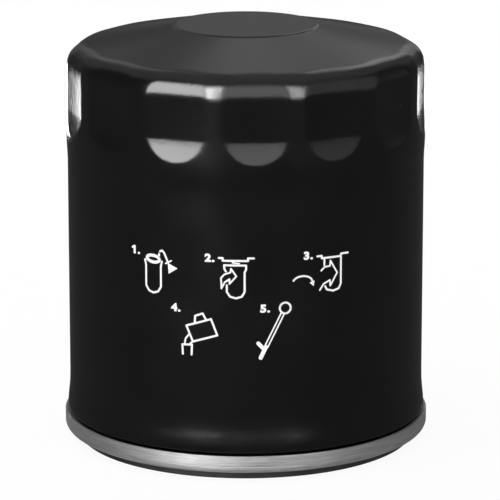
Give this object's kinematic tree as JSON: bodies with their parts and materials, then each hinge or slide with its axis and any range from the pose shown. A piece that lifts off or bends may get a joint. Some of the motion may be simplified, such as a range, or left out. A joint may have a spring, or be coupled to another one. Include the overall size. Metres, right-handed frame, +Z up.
{
  "type": "oil filter",
  "caption": "Spin-on oil filter: fluted painted can, rolled seam and gasket, with a threaded base plate and a spring-loaded cartridge with bypass and anti-drain valves inside.",
  "frame": {"origin": "centre of the gasket's sealing face, which is the face that seats on the engine", "axes": "+Z up the filter's axis from the gasket to the domed end; -Y is the front, where the print is"},
  "size_m": [0.0782, 0.0782, 0.0895],
  "materials": {
    "painted_shell": "gloss black baked paint",
    "lid_steel": "bare drawn sheet, brushed round the rim",
    "compound": "cured sealing compound",
    "gasket_rubber": "moulded nitrile rubber, satin",
    "plate_steel": "stamped and tapped steel, lightly oiled",
    "valve_rubber": "moulded nitrile rubber",
    "cap_steel": "tin-plated sheet",
    "plastisol": "cured plastisol",
    "filter_paper": "resin-impregnated pleated paper",
    "tube_steel": "perforated tin-plated sheet",
    "spring_steel": "drawn spring wire",
    "valve_steel": "pressed sheet"
  },
  "bodies": {
    "filter_body": {"shell": "painted_shell", "seam_cover": "lid_steel", "seam_sealant": "compound", "base_gasket": "gasket_rubber", "base_plate": "plate_steel"},
    "anti_drain_flap": {"anti_drain_valve": "valve_rubber"},
    "cartridge": {"lower_end_cap": "cap_steel", "lower_potting": "plastisol", "filter_media": "filter_paper", "media_seam_clip": "cap_steel", "centre_tube": "tube_steel", "upper_potting": "plastisol", "upper_end_cap": "cap_steel", "bypass_seat": "cap_steel", "bypass_cage": "cap_steel", "element_spring": "spring_steel"},
    "bypass_valve": {"bypass_poppet": "valve_steel", "bypass_seal": "valve_rubber", "bypass_stem": "valve_steel", "bypass_spring": "spring_steel"}
  },
  "joints": [
    {"name": "anti_drain_lift", "type": "slide", "parent": "filter_body", "child": "anti_drain_flap", "axis": [0, 0, 1], "range_m": [0, 0.0012], "stiffness_N_per_m": 400, "deforming": ["anti_drain_valve"]},
    {"name": "cartridge_float", "type": "slide", "parent": "filter_body", "child": "cartridge", "axis": [0, 0, 1], "range_m": [0, 0.0015], "stiffness_N_per_m": 6000, "springref_m": -0.004, "deforming": ["element_spring"]},
    {"name": "bypass_open", "type": "slide", "parent": "cartridge", "child": "bypass_valve", "axis": [0, 0, -1], "range_m": [0, 0.003], "stiffness_N_per_m": 2000, "springref_m": -0.0047, "deforming": ["bypass_spring"]}
  ]
}
